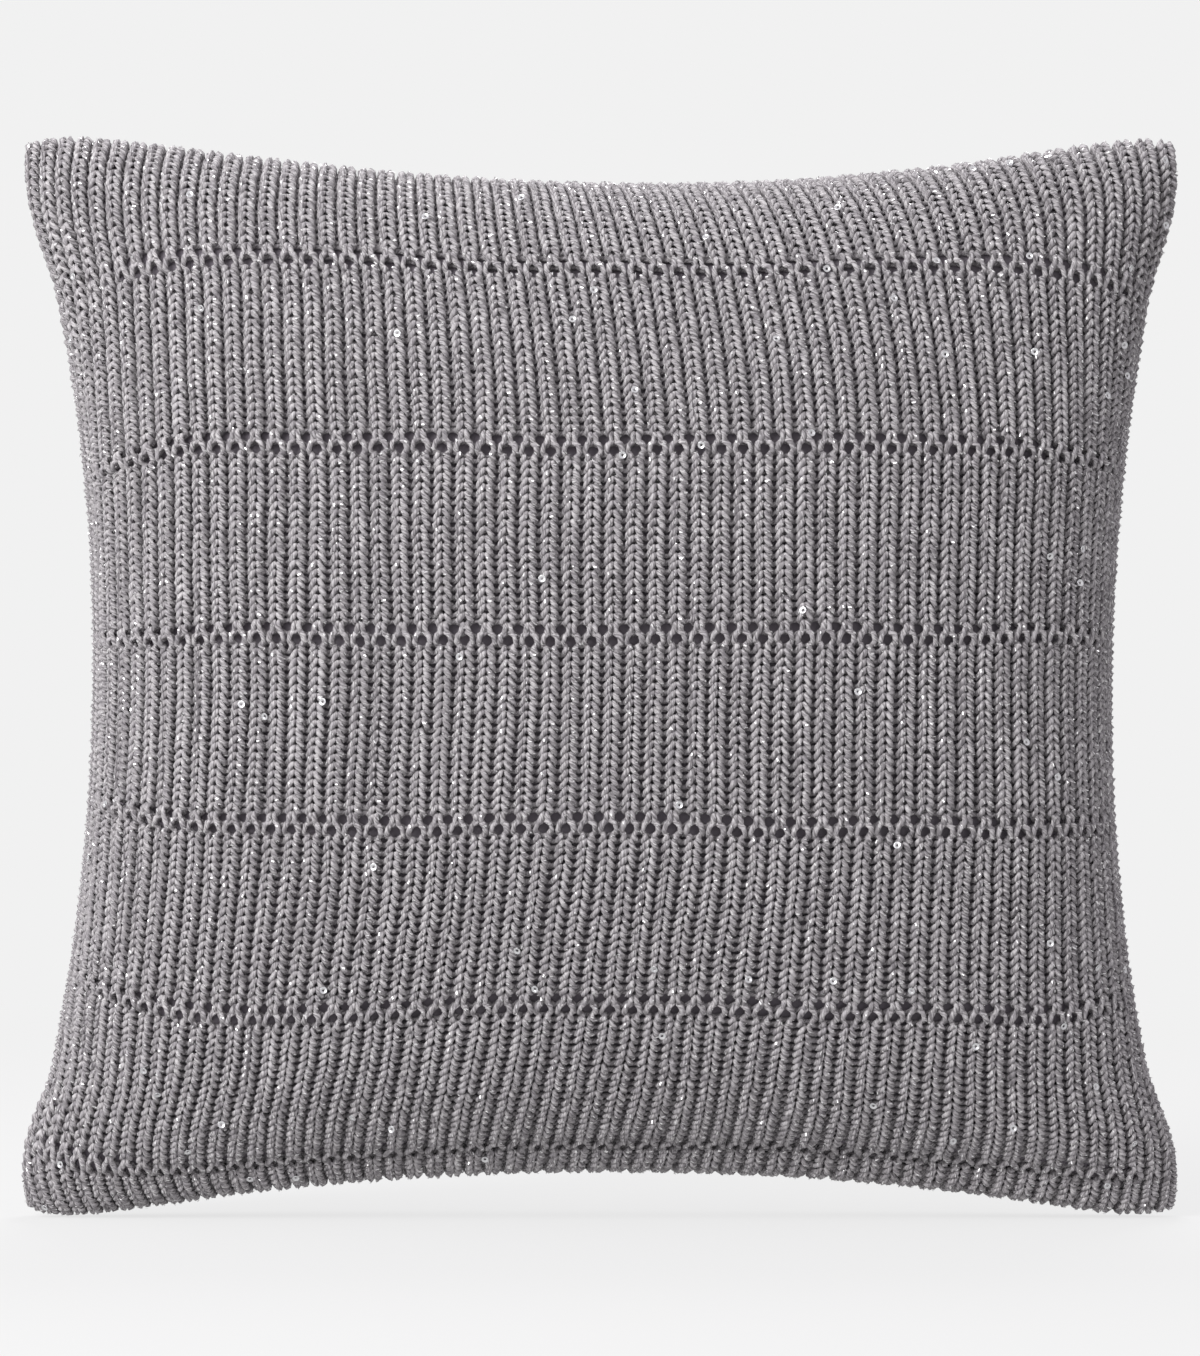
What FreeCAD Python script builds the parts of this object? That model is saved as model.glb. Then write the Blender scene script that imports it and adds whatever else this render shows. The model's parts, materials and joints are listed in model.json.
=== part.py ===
import FreeCAD, Part
import math
import os
import re

import Sketcher

# Throw pillow: a rib-knit cover with a lining, a stuffed insert and a concealed zip in its bottom edge.
# Millimetres. +X is the pillow's right seen from the front, the front faces -Y, +Z is up.
# The pillow stands on its two bottom corners, and the origin is on that surface under its middle.

DIMENSIONS = {
    # cover, outside
    "cover_width": 490,
    "cover_height": 455,
    "cover_thickness": 150,
    "side_pull_in": 29,
    "top_pull_in": 20,
    "bottom_pull_in": 18,
    "corner_cut": 6,
    "side_overshoot": 4,
    "top_overshoot": 2.7,
    "foot_depth": 6,
    # layers, each gap counted inwards from the cover's outside
    "knit_thickness": 3.6,
    "foot_thickness": 2.6,
    "lining_edge_gap": 7.5,
    "lining_face_gap": 4.2,
    "lining_thickness": 0.6,
    "lining_clearance": 2,
    "insert_edge_gap": 15,
    "insert_face_gap": 5.6,
    "case_thickness": 0.8,
    "fill_clearance": 0.4,
    # zip
    "zip_level": 28,
    "zip_half_length": 150,
    "tape_half_length": 162,
    "slot_half_length": 165,
    "slot_width": 7.4,
    "tape_inner_edge": 2.6,
    "tape_width": 12.4,
    "tape_thickness": 0.7,
    "chain_thickness": 2.4,
    "chain_spine": 1,
    "tooth_reach": 0.85,
    "tooth_length": 1.5,
    "tooth_pitch": 3,
    "tooth_count": 98,
    "stop_length": 3,
    "zip_room": 4,
    "overcut": 1,
    "thread_radius": 0.3,
    "thread_inset": 3,
    # slider and pull
    "slider_home": 141,
    "slider_length": 10,
    "slider_width": 10,
    "slider_gap": 2.8,
    "plate_thickness": 1,
    "flange_width": 1,
    "flange_height": 0.7,
    "divider_width": 1.1,
    "divider_length": 2.6,
    "bridge_width": 1.6,
    "bridge_span": 7.4,
    "bridge_drop": 2.4,
    "bridge_thickness": 0.9,
    "pull_length": 20,
    "pull_width": 6.4,
    "pull_thickness": 1,
    "pull_window_length": 6,
    "pull_window_width": 4,
    "pivot_drop": 0.75,
    "pivot_radius": 0.55,
    # small pieces
    "seam_radius": 0.7,
    "seam_gap": 5.8,
    "insert_thread_radius": 0.5,
    "insert_seam_gap": 13,
    "insert_thread_drop": 0.55,
    "label_start": -90,
    "label_length": 45,
    "label_width": 9,
    "label_thickness": 0.3,
    "sequin_radius": 1.5,
    "sequin_hole_radius": 0.5,
    "sequin_thickness": 0.2,
    "sequin_count": 70,
}

SIDE_CURVE = 1.2  # how quickly the sides come out again towards the corners
END_CURVE = 1.35  # the same for the top and bottom edges
CORNER_SHARPNESS = 20
CROWN = 2.6  # 2 would be an ellipse, more is boxier
GRID = 23  # points each way across one face
SEQUIN_STEPS = (0.7549, 0.5698)  # one step across and one along, which scatter points evenly
SEQUIN_SPREAD = 0.82  # the share of each face that carries sequins
SEQUIN_LIFT = 0.08  # how far a sequin lies clear of the knit
SEAM_SPAN = 0.55  # how far along an edge a seam's thread runs, as pillow_point counts it
NUDGE = 0.001  # a step along the surface, small enough to give its direction
LEVEL_TOLERANCE = 0.01  # how far a piece may reach below the standing surface
PLANE = {"XY": "XY_Plane", "XZ": "XZ_Plane", "YZ": "YZ_Plane"}


def make_sheet(doc):
    """The driving dimensions, one alias to a row."""
    sheet = doc.addObject("Spreadsheet::Sheet", "Dimensions")
    for row, (alias, value) in enumerate(DIMENSIONS.items(), start=1):
        sheet.set(f"A{row}", alias)
        sheet.set(f"B{row}", str(value))
        sheet.setAlias(f"B{row}", alias)
    doc.recompute()
    return sheet


def bound(expression):
    """The expression with each alias looked up in the sheet."""
    return re.sub(r"[a-z][a-z_]+", lambda word: f"Dimensions.{word.group()}", expression)


def bind(thing, **expressions):
    """Set properties from the sheet. A double underscore stands for a dot."""
    for path, expression in expressions.items():
        thing.setExpression(path.replace("__", "."), bound(expression))


# ---- pillow forms ----


def pillow_point(sheet, edge_gap, face_gap, across, along, face):
    """A point of a pillow form. across and along run from -1 to 1, and face is -1 in front."""
    u = math.sin(math.pi / 2 * across)
    v = math.sin(math.pi / 2 * along)
    half_width = sheet.cover_width / 2 + sheet.side_overshoot - edge_gap
    top = sheet.cover_height + sheet.top_overshoot
    middle = (top - sheet.foot_depth) / 2
    half_height = (top + sheet.foot_depth) / 2 - edge_gap
    side = sheet.side_pull_in * (1 - v * v) ** SIDE_CURVE
    side += sheet.corner_cut * abs(v) ** CORNER_SHARPNESS
    end = (sheet.top_pull_in * (1 + v) + sheet.bottom_pull_in * (1 - v)) / 2
    end *= (1 - u * u) ** END_CURVE
    end += sheet.corner_cut * abs(u) ** CORNER_SHARPNESS
    crown = math.sqrt((1 - abs(u) ** CROWN) * (1 - abs(v) ** CROWN))
    depth = (sheet.cover_thickness / 2 - face_gap) * crown
    return FreeCAD.Vector(u * (half_width - side), face * depth, middle + v * (half_height - end))


def pillow_face(sheet, edge_gap, face_gap, face):
    """The front (-1) or back (1) surface of a pillow form."""
    steps = [2 * index / (GRID - 1) - 1 for index in range(GRID)]
    rows = [[pillow_point(sheet, edge_gap, face_gap, s, t, face) for t in steps] for s in steps]
    surface = Part.BSplineSurface()
    surface.interpolate(rows)
    return surface.toShape()


def closed_solid(faces):
    """One solid from faces that share their edges, turned the right way out."""
    shell = Part.makeShell(faces)
    shell.sewShape()
    solid = Part.makeSolid(Part.Shell(shell.Faces))
    if solid.Volume < 0:
        solid.reverse()
    return solid


def add_form(doc, sheet, name, edge_gap, face_gap):
    """A whole pillow form: the front and back surfaces meet at the edge."""
    form = doc.addObject("Part::Feature", name)
    form.Shape = closed_solid([pillow_face(sheet, edge_gap, face_gap, face) for face in (-1, 1)])
    return form


def add_half_form(doc, sheet, name, edge_gap, face_gap, face):
    """Half a pillow form, closed by a flat face through the edge."""
    skin = pillow_face(sheet, edge_gap, face_gap, face)
    middle = Part.makeFace(Part.Wire(Part.sortEdges(skin.Edges)[0]), "Part::FaceMakerSimple")
    form = doc.addObject("Part::Feature", name)
    form.Shape = closed_solid([skin, middle])
    return form


# ---- helpers for plain pieces ----


def add_box(doc, name, length, width, height, x, y, z):
    """A box with every size and its low corner bound to the sheet."""
    box = doc.addObject("Part::Box", name)
    bind(box, Length=length, Width=width, Height=height)
    bind(box, Placement__Base__x=x, Placement__Base__y=y, Placement__Base__z=z)
    return box


def add_rod(doc, name, radius, length, x, y, z):
    """A cylinder along X that starts at x, y, z."""
    rod = doc.addObject("Part::Cylinder", name)
    rod.Placement = FreeCAD.Placement(FreeCAD.Vector(), FreeCAD.Rotation(FreeCAD.Vector(0, 1, 0), 90))
    bind(rod, Radius=radius, Height=length)
    bind(rod, Placement__Base__x=x, Placement__Base__y=y, Placement__Base__z=z)
    return rod


def add_boolean(doc, kind, name, base, tool):
    result = doc.addObject(f"Part::{kind}", name)
    result.Base = base
    result.Tool = tool
    return result


def add_group(doc, name, members):
    group = doc.addObject("Part::Compound", name)
    group.Links = members
    return group


def new_body(doc, name):
    return doc.addObject("PartDesign::Body", name)


def origin_plane(body, role):
    return next(feature for feature in body.Origin.OriginFeatures if feature.Role == role)


def add_sketch(body, name, plane, level):
    """A sketch on one of the body's own planes, raised by level."""
    sketch = body.newObject("Sketcher::SketchObject", name)
    sketch.AttachmentSupport = [(origin_plane(body, PLANE[plane]), "")]
    sketch.MapMode = "FlatFace"
    bind(sketch, AttachmentOffset__Base__z=level)
    return sketch


def draw_rectangle(sketch, left, low, width, height):
    """A rectangle whose corner and sides are bound to the sheet."""
    corners = [(0, 0), (1, 0), (1, 1), (0, 1)]
    first = sketch.GeometryCount
    for (x0, y0), (x1, y1) in zip(corners, corners[1:] + corners[:1]):
        sketch.addGeometry(Part.LineSegment(FreeCAD.Vector(x0, y0, 0), FreeCAD.Vector(x1, y1, 0)))
    for side in range(4):
        sketch.addConstraint(Sketcher.Constraint("Coincident", first + side, 2, first + (side + 1) % 4, 1))
        straight = "Horizontal" if side % 2 == 0 else "Vertical"
        sketch.addConstraint(Sketcher.Constraint(straight, first + side))
    sized = [
        (Sketcher.Constraint("DistanceX", first, 1, first, 2, 1), width),
        (Sketcher.Constraint("DistanceY", first + 1, 1, first + 1, 2, 1), height),
        (Sketcher.Constraint("DistanceX", -1, 1, first, 1, 0), left),
        (Sketcher.Constraint("DistanceY", -1, 1, first, 1, 0), low),
    ]
    for constraint, expression in sized:
        index = sketch.addConstraint(constraint)
        sketch.setExpression(f"Constraints[{index}]", bound(expression))


def pad_rectangle(body, name, level, height, rectangles):
    """Pad one or more rectangles drawn on the XY plane upwards from level."""
    sketch = add_sketch(body, f"{name}_sketch", "XY", level)
    for rectangle in rectangles:
        draw_rectangle(sketch, *rectangle)
    pad = body.newObject("PartDesign::Pad", name)
    pad.Profile = sketch
    bind(pad, Length=height)
    return pad


# ---- textile pieces ----


def make_knitted_cover(doc, sheet):
    """The knit as a closed bag, flat where it stands, with the zip's slot in its bottom edge."""
    outside = add_form(doc, sheet, "cover_outside", 0, 0)
    inside = add_form(doc, sheet, "cover_inside", sheet.knit_thickness, sheet.knit_thickness)
    span = ("2 * cover_width", "2 * cover_thickness", "cover_thickness")
    low = ("-cover_width", "-cover_thickness")
    ground = add_box(doc, "ground", *span, *low, "-cover_thickness")
    raised = add_box(doc, "raised_ground", *span, *low, "foot_thickness - cover_thickness")
    standing = add_boolean(doc, "Cut", "standing_outside", outside, ground)
    hollow = add_boolean(doc, "Cut", "standing_inside", inside, raised)
    bag = add_boolean(doc, "Cut", "cover_bag", standing, hollow)
    slot = add_box(
        doc,
        "zip_slot",
        "2 * slot_half_length",
        "slot_width",
        "zip_level",
        "-slot_half_length",
        "-slot_width / 2",
        "0",
    )
    return add_boolean(doc, "Cut", "knitted_cover", bag, slot)


def make_lining(doc, sheet, side, face):
    """One lining panel, cut back along the zip where it is sewn to the tape."""
    edge = sheet.lining_edge_gap
    depth = sheet.lining_face_gap
    wall = sheet.lining_thickness
    outer = add_half_form(doc, sheet, f"lining_outside_{side}", edge, depth, face)
    inner = add_half_form(doc, sheet, f"lining_inside_{side}", edge + wall, depth + wall, face)
    panel = add_boolean(doc, "Cut", f"lining_panel_{side}", outer, inner)
    room = add_box(
        doc,
        f"lining_room_{side}",
        "2 * slot_half_length",
        "2 * ( tape_inner_edge + tape_width + lining_clearance )",
        "zip_level + zip_room",
        "-slot_half_length",
        "-tape_inner_edge - tape_width - lining_clearance",
        "0",
    )
    return add_boolean(doc, "Cut", f"lining_{side}", panel, room)


def make_insert_form(doc, sheet, name, inset, face=None):
    """The insert, or half of it, flattened above the zip by as much as inset asks."""
    edge = sheet.insert_edge_gap + inset
    depth = sheet.insert_face_gap + inset
    if face is None:
        form = add_form(doc, sheet, f"{name}_form", edge, depth)
    else:
        form = add_half_form(doc, sheet, f"{name}_form", edge, depth, face)
    press = add_box(
        doc,
        f"{name}_press",
        f"2 * slot_half_length + {2 * inset}",
        "2 * cover_thickness",
        f"zip_level + zip_room + {inset}",
        f"-slot_half_length - {inset}",
        "-cover_thickness",
        "0",
    )
    return add_boolean(doc, "Cut", name, form, press)


def make_insert_case(doc, sheet, side, face):
    """One ticking panel of the insert."""
    outer = make_insert_form(doc, sheet, f"case_outside_{side}", 0, face)
    inner = make_insert_form(doc, sheet, f"case_inside_{side}", sheet.case_thickness, face)
    return add_boolean(doc, "Cut", f"insert_case_{side}", outer, inner)


def make_insert_fill(doc, sheet):
    """The fibre filling, just inside the case."""
    return make_insert_form(doc, sheet, "insert_fill", sheet.case_thickness + sheet.fill_clearance)


def add_arc_thread(doc, sheet, name, radius, gap, stations):
    """A thread along one edge, between front and back: an arc through three places on the outline."""
    start, middle, end = [pillow_point(sheet, gap, 0, across, along, 0) for across, along in stations]
    path = Part.Arc(start, middle, end)
    direction = path.tangent(path.FirstParameter)[0]
    section = Part.makeFace(Part.Wire(Part.makeCircle(radius, start, direction)), "Part::FaceMakerSimple")
    thread = doc.addObject("Part::Feature", name)
    thread.Shape = Part.Wire(path.toShape()).makePipe(section)
    return thread


def make_side_seam(doc, sheet, name, across):
    """The thread that joins the knit's front and back down one side, inside the cover."""
    stations = [(across, along) for along in (-SEAM_SPAN, 0, SEAM_SPAN)]
    return add_arc_thread(doc, sheet, name, sheet.seam_radius, sheet.seam_gap, stations)


def make_insert_seam(doc, sheet):
    """The thread round the insert: three bowed runs, and a straight one above the zip."""
    edges = {
        "left": [(-1, along) for along in (-SEAM_SPAN, 0, SEAM_SPAN)],
        "right": [(1, along) for along in (-SEAM_SPAN, 0, SEAM_SPAN)],
        "top": [(across, 1) for across in (-SEAM_SPAN, 0, SEAM_SPAN)],
    }
    gap = sheet.insert_seam_gap
    radius = sheet.insert_thread_radius
    runs = [add_arc_thread(doc, sheet, f"insert_thread_{edge}", radius, gap, edges[edge]) for edge in edges]
    level = "zip_level + zip_room - insert_thread_drop"
    bottom = ("insert_thread_radius", "2 * slot_half_length", "-slot_half_length", "0", level)
    runs.append(add_rod(doc, "insert_thread_bottom", *bottom))
    return add_group(doc, "insert_seam_thread", runs)


def make_care_label(doc):
    """A blank folded label, sewn in above the back zip tape."""
    size = ("label_length", "label_width", "label_thickness")
    y = "tape_inner_edge + tape_width - label_width"
    return add_box(doc, "care_label", *size, "label_start", y, "zip_level + tape_thickness")


def make_sequins(doc, sheet, name, face):
    """Ring sequins scattered over one face, each lying just clear of the knit."""
    rings = []
    for index in range(1, int(sheet.sequin_count) + 1):
        across, along = [SEQUIN_SPREAD * (2 * ((index * step) % 1) - 1) for step in SEQUIN_STEPS]
        here = pillow_point(sheet, 0, 0, across, along, face)
        step_across = pillow_point(sheet, 0, 0, across + NUDGE, along, face) - here
        step_along = pillow_point(sheet, 0, 0, across, along + NUDGE, face) - here
        outwards = step_across.cross(step_along).normalize() * -face
        seat = here + outwards * SEQUIN_LIFT
        disc = Part.makeCylinder(sheet.sequin_radius, sheet.sequin_thickness, seat, outwards)
        hole = Part.makeCylinder(sheet.sequin_hole_radius, sheet.sequin_thickness, seat, outwards)
        rings.append(disc.cut(hole))
    sequins = doc.addObject("Part::Feature", name)
    sequins.Shape = Part.makeCompound(rings)
    return sequins


# ---- zip ----


def make_zip_tape(doc, side, face):
    """One flat tape, on the cover's side of the chain."""
    low = "tape_inner_edge" if face > 0 else "-tape_inner_edge - tape_width"
    size = ("2 * tape_half_length", "tape_width", "tape_thickness")
    corner = ("-tape_half_length", low, "zip_level - tape_thickness / 2")
    return add_box(doc, f"zip_tape_{side}", *size, *corner)


def make_zip_teeth(doc, side, face):
    """Half the chain: a spine on the tape's edge with a row of teeth that stop short of the middle."""
    body = new_body(doc, f"zip_teeth_{side}")
    level = "zip_level - chain_thickness / 2"
    if face > 0:
        spine_low = "tape_inner_edge - chain_spine"
        tooth_low = "tape_inner_edge - chain_spine - tooth_reach"
    else:
        spine_low = "-tape_inner_edge"
        tooth_low = "-tape_inner_edge + chain_spine / 2"
    start = "-tooth_pitch * ( tooth_count - 1 ) / 2 - tooth_length / 2"
    run = "tooth_pitch * ( tooth_count - 1 ) + tooth_length"
    spine = (start, spine_low, run, "chain_spine")
    tooth = (start, tooth_low, "tooth_length", "tooth_reach + chain_spine / 2")
    pad_rectangle(body, f"spine_{side}", level, "chain_thickness", [spine])
    first = pad_rectangle(body, f"tooth_{side}", level, "chain_thickness", [tooth])
    row = body.newObject("PartDesign::LinearPattern", f"tooth_row_{side}")
    row.Originals = [first]
    row.Direction = (origin_plane(body, "X_Axis"), [""])
    bind(row, Length="tooth_pitch * ( tooth_count - 1 )", Occurrences="tooth_count")
    body.Tip = row
    return body


def make_zip_stops(doc, name, end):
    """Two blocks, one on each half of the chain, past its last tooth."""
    x = "zip_half_length - stop_length" if end > 0 else "-zip_half_length"
    size = ("stop_length", "chain_spine + tooth_reach", "chain_thickness")
    z = "zip_level - chain_thickness / 2"
    back = add_box(doc, f"{name}_back", *size, x, "tape_inner_edge - chain_spine - tooth_reach", z)
    front = add_box(doc, f"{name}_front", *size, x, "-tape_inner_edge", z)
    return add_group(doc, name, [back, front])


def make_zip_threads(doc):
    """The two lines of stitching that hold the tapes to the cover."""
    run = ("thread_radius", "2 * tape_half_length", "-tape_half_length")
    inset = "tape_inner_edge + tape_width - thread_inset"
    level = "zip_level - tape_thickness / 2 - thread_radius"
    back = add_rod(doc, "zip_thread_back", *run, inset, level)
    front = add_rod(doc, "zip_thread_front", *run, f"-( {inset} )", level)
    return add_group(doc, "zip_stitching", [back, front])


def make_zip_slider(doc):
    """Two plates over and under the chain, flanges, a divider at the nose and a bridge for the pull."""
    body = new_body(doc, "zip_slider")
    tail = "slider_home - slider_length / 2"
    plate = [(tail, "-slider_width / 2", "slider_length", "slider_width")]
    below = "zip_level - slider_gap / 2 - plate_thickness"
    above = "zip_level + slider_gap / 2"
    nose = "slider_home + slider_length / 2 - divider_length"
    divider = [(nose, "-divider_width / 2", "divider_length", "divider_width")]
    flanges = [
        (tail, "-slider_width / 2", "slider_length", "flange_width"),
        (tail, "slider_width / 2 - flange_width", "slider_length", "flange_width"),
    ]
    post = "slider_home - bridge_span / 2"
    far_post = f"{post} + bridge_span - bridge_thickness"
    posts = [(x, "-bridge_width / 2", "bridge_thickness", "bridge_width") for x in (post, far_post)]
    bar = [(post, "-bridge_width / 2", "bridge_span", "bridge_width")]
    inside = f"{below} + plate_thickness / 2"
    hanger = f"{below} - bridge_drop"
    pad_rectangle(body, "slider_lower_plate", below, "plate_thickness", plate)
    pad_rectangle(body, "slider_divider", inside, "slider_gap + plate_thickness", divider)
    pad_rectangle(body, "slider_upper_plate", above, "plate_thickness", plate)
    pad_rectangle(body, "slider_lower_flanges", below, "plate_thickness + flange_height", flanges)
    pad_rectangle(body, "slider_posts", hanger, "bridge_drop + plate_thickness / 2", posts)
    pad_rectangle(body, "slider_bridge", hanger, "bridge_thickness", bar)
    return body


def make_zip_pull(doc):
    """A flat tab with a window, hung on a round pivot under the slider's bridge."""
    body = new_body(doc, "zip_pull")
    middle = "zip_level - slider_gap / 2 - plate_thickness - pivot_drop"
    low = f"{middle} - pull_thickness / 2"
    tip = "slider_home - pull_length"
    tab = (tip, "-pull_width / 2", "pull_length", "pull_width")
    window_start = "slider_home - pull_window_length"
    window = (window_start, "-pull_window_width / 2", "pull_window_length + overcut", "pull_window_width")
    pad_rectangle(body, "pull_tab", low, "pull_thickness", [tab])
    doc.recompute()
    sketch = add_sketch(body, "pull_window_sketch", "XY", low)
    draw_rectangle(sketch, *window)
    cut = body.newObject("PartDesign::Pocket", "pull_window")
    cut.Profile = sketch
    cut.Reversed = True
    bind(cut, Length="pull_thickness")
    pivot = body.newObject("PartDesign::AdditiveCylinder", "pull_pivot")
    pivot.AttachmentSupport = [(origin_plane(body, "XZ_Plane"), "")]
    pivot.MapMode = "FlatFace"
    bind(pivot, Radius="pivot_radius", Height="pull_width")
    bind(pivot, AttachmentOffset__Base__x="slider_home", AttachmentOffset__Base__y=middle)
    bind(pivot, AttachmentOffset__Base__z="-pull_width / 2")
    body.Tip = pivot
    return body


# ---- assembly ----


def make_parts(doc, sheet):
    """Every piece of the pillow, by node name."""
    parts = {
        "knitted_cover": make_knitted_cover(doc, sheet),
        "side_seam_thread_left": make_side_seam(doc, sheet, "side_seam_left", -1),
        "side_seam_thread_right": make_side_seam(doc, sheet, "side_seam_right", 1),
        "insert_fill": make_insert_fill(doc, sheet),
        "insert_seam_thread": make_insert_seam(doc, sheet),
        "care_label": make_care_label(doc),
        "zip_top_stops": make_zip_stops(doc, "zip_top_stop", 1),
        "zip_bottom_stops": make_zip_stops(doc, "zip_bottom_stop", -1),
        "zip_stitching": make_zip_threads(doc),
        "zip_slider": make_zip_slider(doc),
        "zip_pull": make_zip_pull(doc),
    }
    for side, face in (("front", -1), ("back", 1)):
        parts[f"lining_{side}"] = make_lining(doc, sheet, side, face)
        parts[f"insert_case_{side}"] = make_insert_case(doc, sheet, side, face)
        parts[f"zip_tape_{side}"] = make_zip_tape(doc, side, face)
        parts[f"zip_teeth_{side}"] = make_zip_teeth(doc, side, face)
        parts[f"sequins_{side}"] = make_sequins(doc, sheet, f"sequin_rings_{side}", face)
    for name, part in parts.items():
        part.Label = name
    return parts


def check(doc, parts):
    """Stop on a failed feature or a bad shape, and print what was made."""
    for thing in doc.Objects:
        if "Invalid" in thing.State or "Error" in thing.State:
            raise RuntimeError(f"{thing.Label} failed to recompute: {thing.State}")
    for name, part in parts.items():
        shape = part.Shape
        if shape.isNull() or not shape.isValid() or not shape.Solids:
            raise RuntimeError(f"{name} is not a valid solid")
        box = shape.optimalBoundingBox(False)
        if box.ZMin < -LEVEL_TOLERANCE:
            raise RuntimeError(f"{name} reaches below the surface that the pillow stands on")
        low = f"({box.XMin:.1f}, {box.YMin:.1f}, {box.ZMin:.1f})"
        high = f"({box.XMax:.1f}, {box.YMax:.1f}, {box.ZMax:.1f})"
        print(f"{name}: {len(shape.Solids)} solids, {shape.Volume:.1f} mm3, {low} to {high}")


def main():
    doc = FreeCAD.newDocument("ThrowPillow")
    sheet = make_sheet(doc)
    parts = make_parts(doc, sheet)
    doc.recompute()
    check(doc, parts)
    os.makedirs("parts", exist_ok=True)
    for name, part in parts.items():
        part.Shape.exportStep(f"parts/{name}.step")


main()
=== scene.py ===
import json
import math

import bpy
import numpy as np
from mathutils.kdtree import KDTree
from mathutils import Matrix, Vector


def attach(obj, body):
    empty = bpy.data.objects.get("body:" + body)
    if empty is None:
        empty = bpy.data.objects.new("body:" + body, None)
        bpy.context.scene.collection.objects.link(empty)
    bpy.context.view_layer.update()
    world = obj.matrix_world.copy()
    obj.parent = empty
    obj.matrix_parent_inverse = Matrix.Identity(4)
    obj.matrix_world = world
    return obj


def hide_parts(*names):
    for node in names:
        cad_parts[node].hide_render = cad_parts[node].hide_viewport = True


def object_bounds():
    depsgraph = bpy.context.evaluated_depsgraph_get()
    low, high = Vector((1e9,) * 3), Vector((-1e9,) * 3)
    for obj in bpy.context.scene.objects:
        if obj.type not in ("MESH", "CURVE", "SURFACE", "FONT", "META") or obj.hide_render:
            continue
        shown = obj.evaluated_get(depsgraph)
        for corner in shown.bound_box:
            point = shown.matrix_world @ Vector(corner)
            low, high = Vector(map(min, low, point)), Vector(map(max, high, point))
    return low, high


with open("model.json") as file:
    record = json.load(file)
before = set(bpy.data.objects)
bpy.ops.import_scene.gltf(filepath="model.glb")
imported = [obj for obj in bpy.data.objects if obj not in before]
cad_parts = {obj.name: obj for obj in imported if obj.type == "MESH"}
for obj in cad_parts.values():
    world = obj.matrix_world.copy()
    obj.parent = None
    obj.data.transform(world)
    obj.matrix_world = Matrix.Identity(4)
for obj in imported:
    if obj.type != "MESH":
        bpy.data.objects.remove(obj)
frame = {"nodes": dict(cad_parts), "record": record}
cad_low, cad_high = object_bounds()

# Throw pillow in a rib knit with rows of eyelets, standing upright. Metres, in the CAD frame: the front
# faces -Y, +X is to the right seen from the front, and the pillow stands on z = 0.
#
# Three kinds of coordinates are used.
# - across and wrap: places on the pillow's form. across runs from -1 at the left side seam to 1 at the
#   right one, wrap from -1 at the bottom edge up the front to 1 at the top edge, and down the back to 3.
# - u and v: sines of the same, so -1 to 1 across and up one face, in proportion to x and z.
# - rib and course: places in the fabric. rib counts ribs from the left edge, and course counts rows of
#   stitches from the top edge, down the front as positive numbers and down the back as negative ones.

rng = np.random.default_rng(11)
TINY = 1e-12  # keeps a division from failing where a length is nothing

# ---- the pillow's form ----

BOX_WIDTH = cad_high.x - cad_low.x
BOX_HEIGHT = cad_high.z - cad_low.z
BOX_THICKNESS = 0.150
SIDE_OVERSHOOT = 0.004  # what the corners' rounding takes off again
TOP_OVERSHOOT = 0.0046
FOOT_DEPTH = 0.0079  # how far the bottom corners would reach below the floor if they weren't flattened
SIDE_PULL_IN = 0.0340
SIDE_PULL_SKEW = -0.0010  # the left side is pulled in more than the right one
SIDE_SHIFT = 0.04  # the left side is pulled in most above the middle, the right one below it
TOP_PULL_IN = 0.0236
TOP_SHIFT = 0.09  # the top edge is lowest to the right of the middle
BOTTOM_PULL_IN = 0.0269
BOTTOM_SHIFT = 0.03  # and the bottom edge is highest there
TOP_BULGE = 0.0030  # how far the corners swell out again beside the ends
BOTTOM_BULGE = 0.0048
BULGE_START = 0.72  # in v
BULGE_END = 0.89
CORNER_CUT = 0.0078
CORNER_CUT_SKEW = -0.0012  # the bottom corners are rounder
SIDE_CURVE = 0.85  # a power: above 1, an edge's dip is narrower than a parabola
TOP_CURVE = 1.15
BOTTOM_CURVE = 0.85
CORNER_SHARPNESS = 16  # a power: the higher, the smaller the corners' rounding
CROWN = 2.6  # a power: the higher, the flatter the faces and the steeper their edges
BASE_INSET = 0.0027  # from the cover's outside to the middle of the knit
FLOOR_GAP = 0.0010  # from the floor to the middle of the knit, where it rests
YARN_FLOOR = 0.0001  # nothing of the yarn is lower than this
GRID_ACROSS = 241
GRID_ALONG = 601
LAST_CELL = 1.001  # less this, a table's length is the last place that has a neighbour to blend with
HEM_ROWS = 6  # rows of the grid that turn up into the zip's slot
HEM_TOP = 0.0240
SLOT_WALL = 0.0083  # from the middle of the slot to the middle of the knit beside it
SLOT_REACH = 0.176
SLOT_FADE = 0.012

# ---- the knit ----

RIBS = 58
COURSE = 0.00347  # height of one
COURSE_SHIFT = 0.0006  # how far the courses are shifted up from the top edge's middle
FABRIC_WIDTH = 0.49
RIB_PITCH = 0.0087
YARN_RADIUS = 0.00108
YARN_LOBE = 0.18  # how far the two plies stand out of a round section, as a share of the radius
PLY_TURN = 0.0052  # length of yarn in which the plies turn once
YARN_ROUGHNESS = 0.085  # uneven fibres, as a share of the radius
YARN_SIDES = 7
YARN_TIP = 0.05  # what the ends taper to
YARN_UNIT = 0.01  # length of yarn that its UV map counts as one
FIRST_COURSE = 3  # courses left out at the back's bottom edge
LAST_GAP = 0.003  # and room left at the front's
PIECE_COURSES = 15
EDGE_CROWDING = 0.05  # how much closer the ribs lie near the side seams
WANDER_WAVES = 6
WANDER_ACROSS = (0.0012, 9, 14, 1)  # the ribs' unevenness: share of the width, waves across and down, seed
WANDER_DOWN = (0.0009, 7, 10, 2)  # the courses' unevenness: metres, waves across and down, seed
BAND_PERIOD = 22  # courses from one band of eyelets to the next
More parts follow.
